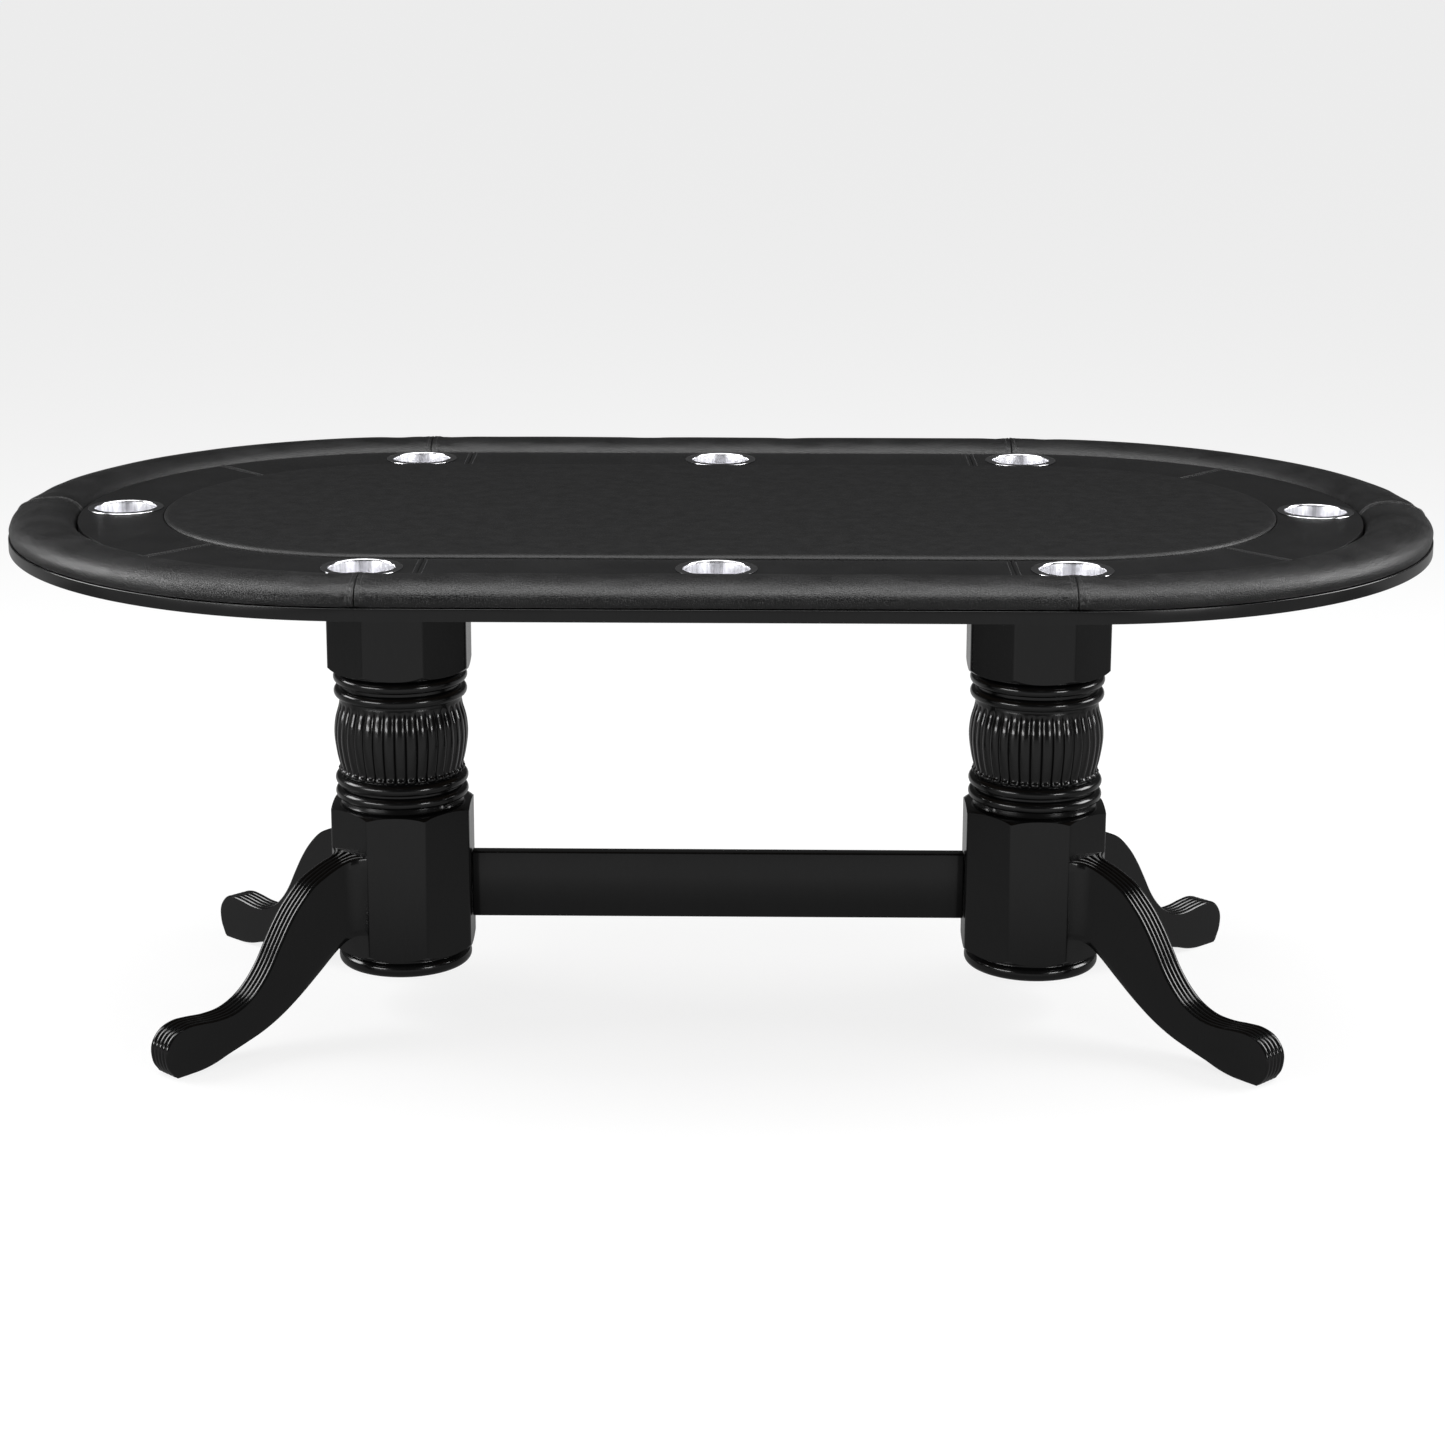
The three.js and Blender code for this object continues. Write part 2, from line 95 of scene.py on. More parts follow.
CUPS = [name for name in nodes if name.startswith("cup_")]
CORNERS = {
    "rear_right": (SIDE_RUN, SIDE_RUN + END_RUN / 2),
    "front_right": (SIDE_RUN + END_RUN / 2, SIDE_RUN + END_RUN),
    "front_left": (2 * SIDE_RUN + END_RUN, 2 * SIDE_RUN + 1.5 * END_RUN),
    "rear_left": (2 * SIDE_RUN + 1.5 * END_RUN, PERIMETER),
}
RAIL_RUNS = {"rear": (0, SIDE_RUN), "front": (SIDE_RUN + END_RUN, 2 * SIDE_RUN + END_RUN), **CORNERS}


def oval(run):
    """Points on the table's edge and their outward directions. run is the distance along the edge
    from the left end of the rear side, clockwise seen from above."""
    run = np.asarray(run, float) % PERIMETER
    half = SIDE_RUN + END_RUN
    second = run >= half
    local = np.where(second, run - half, run)
    on_arc = local > SIDE_RUN
    angle = np.where(on_arc, math.pi / 2 - (local - SIDE_RUN) / END_RADIUS, math.pi / 2)
    out = np.stack([np.cos(angle), np.sin(angle)], -1)
    centre_x = np.where(on_arc, STRAIGHT, np.minimum(local, SIDE_RUN) - STRAIGHT)
    at = out * END_RADIUS
    at[..., 0] += centre_x
    sign = np.where(second, -1.0, 1.0)[..., None]
    return at * sign, out * sign


# ---------------------------------------------------------------- mesh helpers


def new_piece(name, verts, faces, body, material, replaces=(), crease=30, origin=None):
    """A shown piece from millimetre vertices. It rides on a body and stands for the CAD nodes it replaces."""
    verts = np.asarray(verts, float)
    mesh = bpy.data.meshes.new(name)
    shift = np.zeros(3) if origin is None else np.asarray(origin, float)
    mesh.from_pydata(((verts - shift) * MM).tolist(), [], faces)
    mesh.validate()
    bm = bmesh.new()
    bm.from_mesh(mesh)
    bmesh.ops.remove_doubles(bm, verts=bm.verts, dist=1e-6)
    bmesh.ops.recalc_face_normals(bm, faces=bm.faces)
    bm.to_mesh(mesh)
    bm.free()
    mesh.shade_smooth()
    mesh.set_sharp_from_angle(angle=math.radians(crease))
    piece = bpy.data.objects.new(name, mesh)
    piece.location = Vector((shift * MM).tolist())
    bpy.context.scene.collection.objects.link(piece)
    piece.data.materials.append(material)
    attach(piece, body)
    if replaces:
        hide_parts(*replaces)
    return piece


def tube_faces(rows, columns):
    """Quads over rows of points, each row a closed loop of columns points."""
    faces = []
    for i in range(rows - 1):
        for j in range(columns):
            k = (j + 1) % columns
            faces.append((i * columns + j, i * columns + k, (i + 1) * columns + k, (i + 1) * columns + j))
    return faces


def capped_tube(rows, columns):
    last = (rows - 1) * columns
    caps = [tuple(range(columns))[::-1], tuple(range(last, last + columns))]
    return tube_faces(rows, columns) + caps


def smooth_line(points, count, closed=False):
    """A Catmull-Rom line through the points, evenly spaced along its length."""
    p = np.asarray(points, float)
    if closed:
        p = np.vstack([p[-1], p, p[0], p[1]])
    else:
        p = np.vstack([2 * p[0] - p[1], p, 2 * p[-1] - p[-2]])
    t = np.linspace(0, 1, 24, endpoint=False)[:, None]
    pieces = []
    for a, b, c, d in zip(p[:-3], p[1:-2], p[2:-1], p[3:]):
        square = (2 * a - 5 * b + 4 * c - d) * t**2
        cube = (3 * b - a - 3 * c + d) * t**3
        pieces.append(0.5 * (2 * b + (c - a) * t + square + cube))
    line = np.vstack(pieces + [p[-2][None]])
    along = np.concatenate([[0], np.cumsum(np.linalg.norm(np.diff(line, axis=0), axis=1))])
    where = np.linspace(0, along[-1], count, endpoint=not closed)
    return np.stack([np.interp(where, along, line[:, i]) for i in range(2)], -1)


def turned(profile, sides, centre, waviness=None):
    """Vertices and faces of a profile [(radius, height)] turned about a vertical axis at centre."""
    profile = np.asarray(profile, float)
    theta = np.linspace(0, 2 * math.pi, sides, endpoint=False)
    radius = np.repeat(profile[:, :1], sides, 1)
    if waviness is not None:
        radius = waviness(radius, profile[:, 1:2], theta[None, :])
    x = centre[0] + radius * np.cos(theta)
    y = centre[1] + radius * np.sin(theta)
    z = np.repeat(profile[:, 1:2], sides, 1)
    return np.stack([x, y, z], -1).reshape(-1, 3), capped_tube(len(profile), sides)


def swept_oval(section, runs, shape=None):
    """Sweeps a closed section of [inset, height] along the oval. shape may move the points:
    it gets insets, heights and the distance along each run, and returns new insets and heights."""
    at, out = oval(runs)
    inset = np.repeat(section[None, :, 0], len(runs), 0)
    height = np.repeat(section[None, :, 1], len(runs), 0)
    if shape is not None:
        inset, height = shape(inset, height, np.asarray(runs)[:, None])
    xy = at[:, None, :] - out[:, None, :] * inset[..., None]
    verts = np.concatenate([xy, height[..., None]], -1).reshape(-1, 3)
    return verts, capped_tube(len(runs), len(section))


def spaced(start, end, step, fine=()):
    """Runs from start to end about a step apart, with finer ones near both ends."""
    count = max(2, int((end - start) / step))
    inner = np.linspace(start, end, count + 1)
    near = np.asarray(fine, float)
    return np.unique(np.concatenate([inner, start + near, end - near]).round(4))


def wobble(u, v, seed, scale):
    """Smooth, repeatable unevenness from a few crossed waves, about -1 to 1."""
    rng = np.random.default_rng(seed)
    total = np.zeros(np.broadcast(u, v).shape)
    for _ in range(7):
        angle, phase, k = rng.uniform(0, math.pi), rng.uniform(0, 2 * math.pi), rng.uniform(0.6, 1.6)
        total += np.sin((u * math.cos(angle) + v * math.sin(angle)) * k * 2 * math.pi / scale + phase)
    return total / 3.5


# ---------------------------------------------------------------- materials


def shader(name, color, roughness, specular=0.5, metallic=0.0):
    material = bpy.data.materials.new(name)
    material.use_nodes = True
    tree = material.node_tree
    bsdf = tree.nodes["Principled BSDF"]
    bsdf.inputs["Base Color"].default_value = (*color, 1)
    bsdf.inputs["Roughness"].default_value = roughness
    bsdf.inputs["Specular IOR Level"].default_value = specular
    bsdf.inputs["Metallic"].default_value = metallic
    return material, tree, bsdf


def object_coordinates(tree, stretch=(1, 1, 1)):
    place = tree.nodes.new("ShaderNodeTexCoord")
    mapping = tree.nodes.new("ShaderNodeMapping")
    mapping.inputs["Scale"].default_value = stretch
    tree.links.new(place.outputs["Object"], mapping.inputs["Vector"])
    return mapping.outputs["Vector"]


def noise_texture(tree, vector, scale, detail=3, roughness=0.5):
    texture = tree.nodes.new("ShaderNodeTexNoise")
    texture.inputs["Scale"].default_value = scale
    texture.inputs["Detail"].default_value = detail
    texture.inputs["Roughness"].default_value = roughness
    tree.links.new(vector, texture.inputs["Vector"])
    return texture.outputs["Fac"]


def voronoi(tree, vector, scale, feature):
    texture = tree.nodes.new("ShaderNodeTexVoronoi")
    texture.feature = feature
    texture.inputs["Scale"].default_value = scale
    tree.links.new(vector, texture.inputs["Vector"])
    return texture.outputs["Distance"]


def remap(tree, value, low, high, to_low, to_high):
    node = tree.nodes.new("ShaderNodeMapRange")
    for socket, number in zip(("From Min", "From Max", "To Min", "To Max"), (low, high, to_low, to_high)):
        node.inputs[socket].default_value = number
    tree.links.new(value, node.inputs["Value"])
    return node.outputs["Result"]


def ramp(tree, value, stops):
    node = tree.nodes.new("ShaderNodeValToRGB")
    node.color_ramp.elements[0].position, node.color_ramp.elements[0].color = stops[0][0], (*stops[0][1], 1)
    node.color_ramp.elements[1].position, node.color_ramp.elements[1].color = stops[-1][0], (*stops[-1][1], 1)
    for position, color in stops[1:-1]:
        node.color_ramp.elements.new(position).color = (*color, 1)
    tree.links.new(value, node.inputs["Fac"])
    return node.outputs["Color"]


def bump(tree, bsdf, heights):
    """Chains (height output, strength, distance in metres) bumps into the shader's normal."""
    previous = None
    for height, strength, distance in heights:
        node = tree.nodes.new("ShaderNodeBump")
        node.inputs["Strength"].default_value = strength
        node.inputs["Distance"].default_value = distance
        tree.links.new(height, node.inputs["Height"])
        if previous is not None:
            tree.links.new(previous, node.inputs["Normal"])
        previous = node.outputs["Normal"]
    tree.links.new(previous, bsdf.inputs["Normal"])


def gray(value):
    return (value, value, value * 1.03)


def vinyl(name, dark, light, roughness, specular, grain, grain_depth, blotch):
    """Embossed vinyl: pebbles between creases, with broad uneven shine."""
    material, tree, bsdf = shader(name, gray(dark), roughness[0], specular)
    place = object_coordinates(tree)
    pebbles = voronoi(tree, place, grain, "F1")
    creases = voronoi(tree, place, grain * 0.62, "DISTANCE_TO_EDGE")
    fine = noise_texture(tree, place, grain * 3.1, 2)
    broad = noise_texture(tree, place, blotch, 4, 0.6)
    tree.links.new(ramp(tree, broad, [(0.3, gray(dark)), (0.72, gray(light))]), bsdf.inputs["Base Color"])
    tree.links.new(remap(tree, broad, 0.3, 0.7, roughness[0], roughness[1]), bsdf.inputs["Roughness"])
    rounded = remap(tree, pebbles, 0.0, 0.8, 1.0, 0.0)
    sunk = remap(tree, creases, 0.0, 0.12, 0.0, 1.0)
    bump(tree, bsdf, [(rounded, 0.55, grain_depth), (sunk, 0.5, grain_depth), (fine, 0.3, grain_depth * 0.5)])
    return material


def lacquer(name):
    """Black lacquer over wood: nearly black, glossy, with a trace of open grain and orange peel."""
    material, tree, bsdf = shader(name, gray(0.0035), 0.2, 0.4)
    bsdf.inputs["Coat Weight"].default_value = 0.4
    bsdf.inputs["Coat Roughness"].default_value = 0.06
    place = object_coordinates(tree, (1, 1, 0.12))
    grain = noise_texture(tree, place, 420, 5, 0.65)
    peel = noise_texture(tree, object_coordinates(tree), 150, 1)
    broad = noise_texture(tree, object_coordinates(tree), 9, 3)
    tree.links.new(remap(tree, broad, 0.3, 0.7, 0.17, 0.27), bsdf.inputs["Roughness"])
    tree.links.new(ramp(tree, grain, [(0.35, gray(0.0028)), (0.8, gray(0.0058))]), bsdf.inputs["Base Color"])
    bump(tree, bsdf, [(grain, 0.1, 0.0002), (peel, 0.08, 0.0004)])
    return material


def brushed_steel(name):
    """Spun stainless: fine rings round the cup's axis as a bump. Its colour is painted lighter and darker in
    upright bands by angle round the axis, a painted reflection standing in for the light a spun cup throws
    into such bands.
    """
    material, tree, bsdf = shader(name, (0.85, 0.85, 0.86), 0.24, 0.5, 1.0)
    turn = tree.nodes.new("ShaderNodeTexGradient")
    turn.gradient_type = "RADIAL"
    tree.links.new(object_coordinates(tree), turn.inputs["Vector"])
    # Noise by angle round the axis, which sets the upright bands of painted reflection.
    painted_streak_noise = tree.nodes.new("ShaderNodeTexNoise")
    painted_streak_noise.noise_dimensions = "1D"
    painted_streak_noise.inputs["Scale"].default_value = 46
    painted_streak_noise.inputs["Detail"].default_value = 3
    tree.links.new(turn.outputs["Fac"], painted_streak_noise.inputs["W"])
    rings = noise_texture(tree, object_coordinates(tree, (3, 3, 1400)), 1.6, 2, 0.6)
    # Painted reflection: the colour is lighter and darker in upright bands by angle, standing in for light
    # thrown by the spun rings.
    painted_reflection_tone = ramp(tree, painted_streak_noise.outputs["Fac"], [(0.3, gray(0.7)), (0.5, gray(0.9)), (0.66, gray(0.96))])
    tree.links.new(painted_reflection_tone, bsdf.inputs["Base Color"])
    split = tree.nodes.new("ShaderNodeSeparateXYZ")
    tree.links.new(object_coordinates(tree), split.inputs["Vector"])
    tree.links.new(remap(tree, split.outputs["Z"], -0.001, 0.0002, 0.36, 0.13), bsdf.inputs["Roughness"])
    bump(tree, bsdf, [(rings, 0.08, 0.0001)])
    return material


def plated_steel(name):
    material, tree, bsdf = shader(name, (0.5, 0.51, 0.52), 0.35, 0.5, 1.0)
    spots = noise_texture(tree, object_coordinates(tree), 260, 4)
    tree.links.new(remap(tree, spots, 0.3, 0.7, 0.28, 0.48), bsdf.inputs["Roughness"])
    return material


def plywood(name):
    material, tree, bsdf = shader(name, (0.36, 0.25, 0.15), 0.65, 0.3)
    grain = noise_texture(tree, object_coordinates(tree, (6, 90, 90)), 1.2, 6, 0.65)
    stops = [(0.3, (0.1, 0.07, 0.048)), (0.52, (0.17, 0.125, 0.088)), (0.75, (0.23, 0.18, 0.13))]
    tree.links.new(ramp(tree, grain, stops), bsdf.inputs["Base Color"])
    bump(tree, bsdf, [(grain, 0.25, 0.0004)])
    return material


def thread(name):
    material, tree, bsdf = shader(name, gray(0.035), 0.5, 0.5)
    twist = noise_texture(tree, object_coordinates(tree), 1800, 1)
    bump(tree, bsdf, [(twist, 0.4, 0.0002)])
    return material


rail_vinyl = vinyl("rail_vinyl", 0.004, 0.009, (0.3, 0.42), 0.52, 540, 0.0004, 18)
race_vinyl = vinyl("racetrack_vinyl", 0.006, 0.008, (0.34, 0.42), 0.3, 700, 0.00012, 10)
play_vinyl = vinyl("play_vinyl", 0.006, 0.0085, (0.37, 0.43), 0.38, 640, 0.0002, 46)
black_lacquer = lacquer("black_lacquer")
cup_steel = brushed_steel("cup_steel")
zinc = plated_steel("zinc_steel")
raw_board = plywood("raw_board")
seam_thread = thread("seam_thread")


# ---------------------------------------------------------------- stitches


def stitch_row(points, normals, pitch=5.0, length=3.6, thickness=0.85):
    """Short sunk-ended stitches along a line on a surface, as vertices and faces."""
    points, normals = np.asarray(points), np.asarray(normals)
    along = np.concatenate([[0], np.cumsum(np.linalg.norm(np.diff(points, axis=0), axis=1))])
    verts, faces = [], []
    for start in np.arange(pitch / 2, along[-1] - length, pitch):
        spots = np.linspace(start, start + length, 6)
        centre = np.stack([np.interp(spots, along, points[:, i]) for i in range(3)], -1)
        normal = np.stack([np.interp(spots, along, normals[:, i]) for i in range(3)], -1)
        normal /= np.linalg.norm(normal, axis=1, keepdims=True)
        direction = centre[-1] - centre[0]
        direction /= np.linalg.norm(direction)
        side = np.cross(direction, normal)
        arch = np.sin(np.linspace(0, math.pi, 6)) ** 0.5
        base = len(verts)
        for i in range(6):
            radius = thickness / 2 * (0.35 + 0.65 * arch[i])
            lift = thickness * (0.45 * arch[i] - 0.25)
            for k in range(6):
                a = 2 * math.pi * k / 6
                offset = normal[i] * (math.sin(a) * radius + lift) + side[i] * math.cos(a) * radius
                verts.append(centre[i] + offset)
        faces += [tuple(base + j for j in face) for face in capped_tube(6, 6)]
    return verts, faces


def joined_stitches(name, rows):
    verts, faces = [], []
    for points, normals in rows:
        v, f = stitch_row(points, normals)
        faces += [tuple(len(verts) + j for j in face) for face in f]
        verts += v
    return new_piece(name, verts, faces, TABLE, seam_thread, crease=60)


# ---------------------------------------------------------------- upholstered rail

# The pad's outline over its width, as [inset from the table's edge, height above the pad's bottom].
PAD_POINTS = [
    (2.5, 0), (0.6, 4.5), (0.0, 9.5), (0.9, 14.5), (4.0, 19.7), (9.5, 24.4), (17.5, 28.3), (28, 31.3),
    (41, 33.3), (54, 33.7), (67, 32.6), (79, 29.3), (88, 24), (94, 16.5), (96.6, 8.5), (96, 0),
]
PAD_SAMPLES = 72
PAD_FLOOR_SAMPLES = 8
STITCH_OFFSET = 7.0     # from a rail seam to the row of stitches beside it
RAIL_CLEARANCE = 0.06   # between a cover's end and the seam


def pad_section():
    scale = (PAD_TOP - PAD_BOTTOM) / max(h for _, h in PAD_POINTS)
    top = smooth_line([(inset, h * scale) for inset, h in PAD_POINTS], PAD_SAMPLES)
    floor = np.linspace(top[-1], top[0], PAD_FLOOR_SAMPLES + 2)[1:-1]
    section = np.vstack([top, floor])
    section[:, 1] += PAD_BOTTOM
    return section


def section_normals(section):
    tangent = np.roll(section, -1, 0) - np.roll(section, 1, 0)
    normal = np.stack([-tangent[:, 1], tangent[:, 0]], -1)
    return normal / np.linalg.norm(normal, axis=1, keepdims=True)


PAD_SECTION = pad_section()
PAD_NORMALS = section_normals(PAD_SECTION)


def pad_relief(along, start, end):
    """How far the cover stands proud of the plain section, for points along a pad."""
    d = np.minimum(along - start, end - along)
    index = np.arange(len(PAD_SECTION))[None, :]
    allowance = 0.8 / (1 + np.exp((d - 10.5) / 0.9))
    groove = -1.5 * np.exp(-((d / 0.8) ** 2)) + 0.5 * np.exp(-(((d - 2.2) / 0.9) ** 2))
    stitch_line = -0.65 * np.exp(-(((d - STITCH_OFFSET) / 1.1) ** 2))
    pucker = wobble(along, index * 2.2, 5, 13) * 0.35 * np.exp(-((d / 26) ** 2))
    pull = wobble(along * 0.35, index * 3.0, 9, 34) * 0.4 * np.exp(-((d / 75) ** 2))
    foam = wobble(along, index * 2.0, 3, 260) * 0.28
    relief = allowance + groove + stitch_line + pucker + pull + foam
    below = PAD_SECTION[None, :, 1] < PAD_BOTTOM + 1.0
    return np.where(below, 0.0, relief) - 0.9


CLOTH_FRAMES = 20
CLOTH_STEP = 12.0       # spacing of the simulated cover's rows along the rail
CLOTH_SKIP = 2          # every other point of the section takes part
CLOTH_CAP = 2.5         # the most the simulated cover may move, in millimetres
FOAM_HOLD = 0.3         # the share of that move which the firm foam lets show


def relaxed_cover(runs, section):
    """Simulates a loose, slightly inflated cover pinned at its floor and its two seams.
    Returns the part of each point's move along the section's normal that shows, in millimetres."""
    verts, faces = swept_oval(section, runs)
    columns = len(section)
    mesh = bpy.data.meshes.new("cloth")
    mesh.from_pydata((verts * MM).tolist(), [], faces)
    cover = bpy.data.objects.new("cloth", mesh)
    bpy.context.scene.collection.objects.link(cover)
    on_floor = np.tile(section[:, 1] < PAD_BOTTOM + 2, len(runs))
    at_seam = np.zeros(len(verts), bool)
    at_seam[:columns] = at_seam[-columns:] = True
    pinned = cover.vertex_groups.new(name="pinned")
    pinned.add(np.flatnonzero(on_floor | at_seam).tolist(), 1.0, "REPLACE")
    cloth = cover.modifiers.new("cloth", "CLOTH")
    settings = cloth.settings
    settings.quality = 4
    settings.mass = 0.15
    settings.bending_stiffness = 0.4
    settings.vertex_group_mass = "pinned"
    settings.use_pressure = True
    settings.uniform_pressure_force = 4
    settings.shrink_min = -0.02
    settings.effector_weights.gravity = 0
    cloth.collision_settings.use_collision = False
    scene = bpy.context.scene
    for frame_number in range(1, CLOTH_FRAMES + 1):
        scene.frame_set(frame_number)
    shown = cover.evaluated_get(bpy.context.evaluated_depsgraph_get())
    moved = np.array([list(v.co) for v in shown.data.vertices]) / MM - verts
    bpy.data.objects.remove(cover)
    scene.frame_set(1)
    moved = moved.reshape(len(runs), columns, 3)
    out = oval(runs)[1]
    normal = section_normals(section)
    sideways = -(moved[..., :2] * out[:, None, :]).sum(-1)
    lift = sideways * normal[None, :, 0] + moved[..., 2] * normal[None, :, 1]
    lift -= lift.mean() * 0.7
    return FOAM_HOLD * CLOTH_CAP * np.tanh(lift / CLOTH_CAP)


def cover_fullness(start, end):
    """A function that gives the simulated move at distances along a pad, for the whole
    section."""
    runs = np.linspace(start, end, max(8, int((end - start) / CLOTH_STEP)))
    coarse = np.arange(0, len(PAD_SECTION), CLOTH_SKIP)
    lift = relaxed_cover(runs, PAD_SECTION[coarse])
    places = np.arange(len(PAD_SECTION))

    def fullness(along):
        rows = np.array([np.interp(places, coarse, row, period=len(PAD_SECTION)) for row in lift])
        dense = np.array([np.interp(along, runs, rows[:, j]) for j in places]).T
        for _ in range(3):
            dense = (np.roll(dense, 1, 1) + 2 * dense + np.roll(dense, -1, 1)) / 4
            dense[1:-1] = (dense[:-2] + 2 * dense[1:-1] + dense[2:]) / 4
        return dense

    return fullness


def make_rail():
    fine = [0, 0.5, 1, 1.6, 2.3, 3.2, 4.4, 5.6, 6.2, 7, 7.8, 8.6, 9.6, 10.6, 11.6, 13, 16, 20, 24]
    for name, (start, end) in RAIL_RUNS.items():
        runs = spaced(start + RAIL_CLEARANCE, end - RAIL_CLEARANCE, 7.0, fine)
        full = cover_fullness(start, end)

        def relief(inset, height, along, start=start, end=end, full=full):
            lift = pad_relief(along, start, end) + full(along[:, 0])
            return inset + PAD_NORMALS[None, :, 0] * lift, height + PAD_NORMALS[None, :, 1] * lift

        verts, faces = swept_oval(PAD_SECTION, runs, relief)
        pad = new_piece(f"rail_cover_{name}", verts, faces, TABLE, rail_vinyl,
                        [f"rail_pad_{name}"], crease=70)
        rows = []
        for run in (start + STITCH_OFFSET, end - STITCH_OFFSET):
            at, out = oval([run])
            near = np.unique([*runs, run])
            lift = pad_relief(np.array([[run]]), start, end)[0] + full(near)[near.searchsorted(run)]
            shown = slice(8, PAD_SAMPLES - 6)
            inset = (PAD_SECTION[:, 0] + PAD_NORMALS[:, 0] * lift)[shown]
            height = (PAD_SECTION[:, 1] + PAD_NORMALS[:, 1] * lift)[shown]
            line = np.column_stack([at[0] - np.outer(inset, out[0]), height])
            normals = np.column_stack([-np.outer(PAD_NORMALS[shown, 0], out[0]), PAD_NORMALS[shown, 1]])
            rows.append((line, normals))
        joined_stitches(f"rail_stitches_{name}", rows)


# ---------------------------------------------------------------- wooden band under the rail


def rounded_slab(outer, inner, bottom, top, radius, steps=4):
    """A rectangle of [inset, height] with rounded corners."""
    section = []
    corners = [(outer, bottom, 180), (outer, top, 90), (inner, top, 0), (inner, bottom, 270)]
    for inset, height, first in corners:
        cx = inset + radius if inset == outer else inset - radius
        cy = height + radius if height == bottom else height - radius
        for i in range(steps + 1):
            a = math.radians(first + 90 - 90 * i / steps) if first != 270 else math.radians(-90 * i / steps)
            section.append((cx + radius * math.cos(a), cy + radius * math.sin(a)))
    return np.array(section)


def make_band():
    width = END_RADIUS - band_low[1]
    section = rounded_slab(0.0, width, band_low[2], band_high[2], 1.1)
    section = section[np.argsort(np.arctan2(section[:, 1] - section[:, 1].mean(),
                                            section[:, 0] - section[:, 0].mean()))]
    parts = {
        "rear": (0, SIDE_RUN),
        "right_end": (SIDE_RUN, SIDE_RUN + END_RUN),
        "front": (SIDE_RUN + END_RUN, 2 * SIDE_RUN + END_RUN),
        "left_end": (2 * SIDE_RUN + END_RUN, PERIMETER),
    }
    for name, (start, end) in parts.items():
        verts, faces = swept_oval(section, spaced(start + 0.05, end - 0.05, 12.0))
        new_piece(f"band_{name}", verts, faces, TABLE, black_lacquer,
                  [f"rail_band_{name}"], crease=50)


# ---------------------------------------------------------------- racetrack

RACE_FALL = 1.6         # rounding of a panel's edges
RACE_CLEARANCE = 0.15   # between a panel's end and the seam
RACE_STITCH_OFFSET = 6.0
HOLE_SIDES = 96
HOLE_RADIUS = 46.0
HOLE_TOOL_DEPTH = 0.08  # of the cutting cylinder, in metres


def run_at_angle(angle):
    """Run on the right end at an angle above the X axis, in radians."""
    return SIDE_RUN + END_RADIUS * (math.pi / 2 - angle)


def race_runs():
    seam = STRAIGHT - RACE_SEAM_X
    half = SIDE_RUN + END_RUN
    upper, lower = run_at_angle(RACE_SEAM_ANGLE), run_at_angle(-RACE_SEAM_ANGLE)
    return {
        "rear_middle": (seam, SIDE_RUN - seam), "rear_right": (SIDE_RUN - seam, upper),
        "right_end": (upper, lower), "front_right": (lower, half + seam),
        "front_middle": (half + seam, half + SIDE_RUN - seam),
        "front_left": (half + SIDE_RUN - seam, half + upper), "left_end": (half + upper, half + lower),
        "rear_left": (half + lower, PERIMETER + seam),
    }


def cut_hole(piece, centre, radius):
    bm = bmesh.new()
    bmesh.ops.create_cone(bm, segments=HOLE_SIDES, radius1=radius * MM, radius2=radius * MM,
                          depth=HOLE_TOOL_DEPTH, cap_ends=True)
    bmesh.ops.translate(bm, verts=bm.verts, vec=(centre[0] * MM, centre[1] * MM, race_high[2] * MM))
    mesh = bpy.data.meshes.new("hole")
    bm.to_mesh(mesh)
    bm.free()
    tool = bpy.data.objects.new("hole", mesh)
    bpy.context.scene.collection.objects.link(tool)
    modifier = piece.modifiers.new("hole", "BOOLEAN")
    modifier.object, modifier.operation, modifier.solver = tool, "DIFFERENCE", "EXACT"
    bpy.context.view_layer.update()
    cut = bpy.data.meshes.new_from_object(piece.evaluated_get(bpy.context.evaluated_depsgraph_get()))
    piece.modifiers.clear()
    piece.data = cut
    bpy.data.objects.remove(tool)
    piece.data.shade_smooth()
    piece.data.set_sharp_from_angle(angle=math.radians(40))


def race_section():
    top = race_high[2]
    outer, inner = RACE_OUTER, RACE_INNER
    across = np.concatenate([[0, 0.25, 0.8, 1.7], np.linspace(4, inner - outer - 4, 22),
                             inner - outer - np.array([1.7, 0.8, 0.25, 0])])
    edge = np.minimum(across, inner - outer - across)
    upper = np.column_stack([outer + across, top - RACE_FALL * np.exp(-edge / 0.7)])
    return np.vstack([upper, [(inner, race_low[2]), (outer, race_low[2])]])


